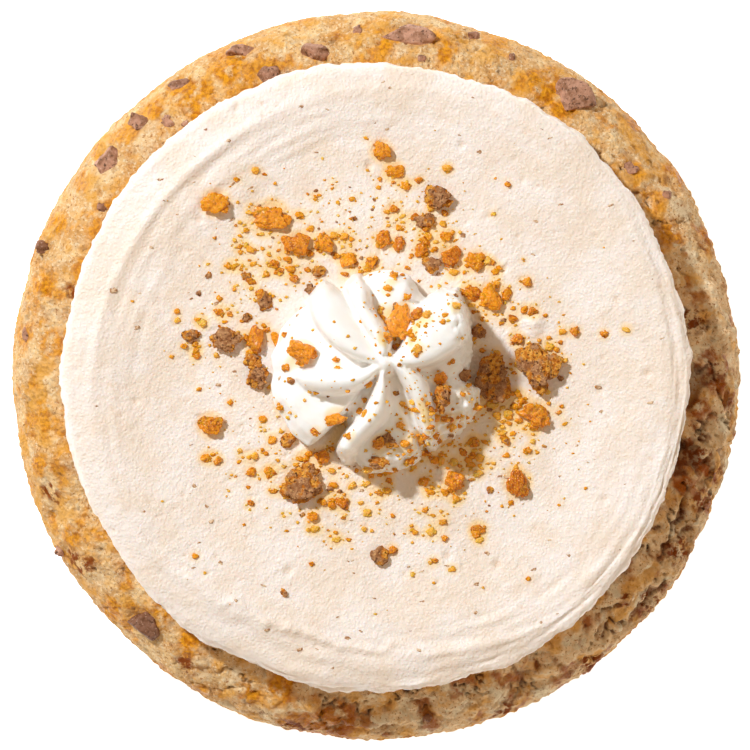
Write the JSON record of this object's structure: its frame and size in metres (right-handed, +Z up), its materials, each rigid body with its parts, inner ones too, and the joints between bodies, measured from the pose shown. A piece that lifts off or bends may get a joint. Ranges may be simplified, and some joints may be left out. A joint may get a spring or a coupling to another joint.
{
  "type": "peanut butter cookie",
  "caption": "Thick round peanut butter cookie topped with a spread frosting disc, a piped cream rosette, toffee and biscuit crumbs, with chocolate pieces in its rim.",
  "frame": {"origin": "centre of the cookie's flat base, on the surface it rests on", "axes": "+Z up through the rosette; +X to the right and +Y away from the viewer, as seen from above"},
  "size_m": [0.1145, 0.1145, 0.0393],
  "materials": {
    "baked_dough": "dry, sandy crumb with browned and caramelised patches",
    "chocolate": "matte, slightly bloomed",
    "frosting": "soft satin, finely pitted",
    "whipped_cream": "smooth, softly glossy, slightly translucent",
    "toffee": "glassy, amber, broken faces",
    "biscuit": "dry, porous, matte"
  },
  "bodies": {
    "root": {"cookie": "baked_dough", "chocolate_piece_1": "chocolate", "chocolate_piece_2": "chocolate", "chocolate_piece_3": "chocolate", "chocolate_piece_4": "chocolate", "chocolate_piece_5": "chocolate", "chocolate_piece_6": "chocolate", "chocolate_piece_7": "chocolate", "chocolate_piece_8": "chocolate", "chocolate_piece_9": "chocolate", "frosting": "frosting", "rosette": "whipped_cream", "toffee_crumb_1": "toffee", "toffee_crumb_2": "toffee", "toffee_crumb_3": "toffee", "toffee_crumb_4": "toffee", "toffee_crumb_5": "toffee", "toffee_crumb_6": "toffee", "toffee_crumb_7": "toffee", "toffee_crumb_8": "toffee", "toffee_crumb_9": "toffee", "biscuit_crumb_1": "biscuit", "biscuit_crumb_2": "biscuit", "biscuit_crumb_3": "biscuit", "biscuit_crumb_4": "biscuit", "biscuit_crumb_5": "biscuit", "biscuit_crumb_6": "biscuit", "biscuit_crumb_7": "biscuit"}
  },
  "joints": []
}
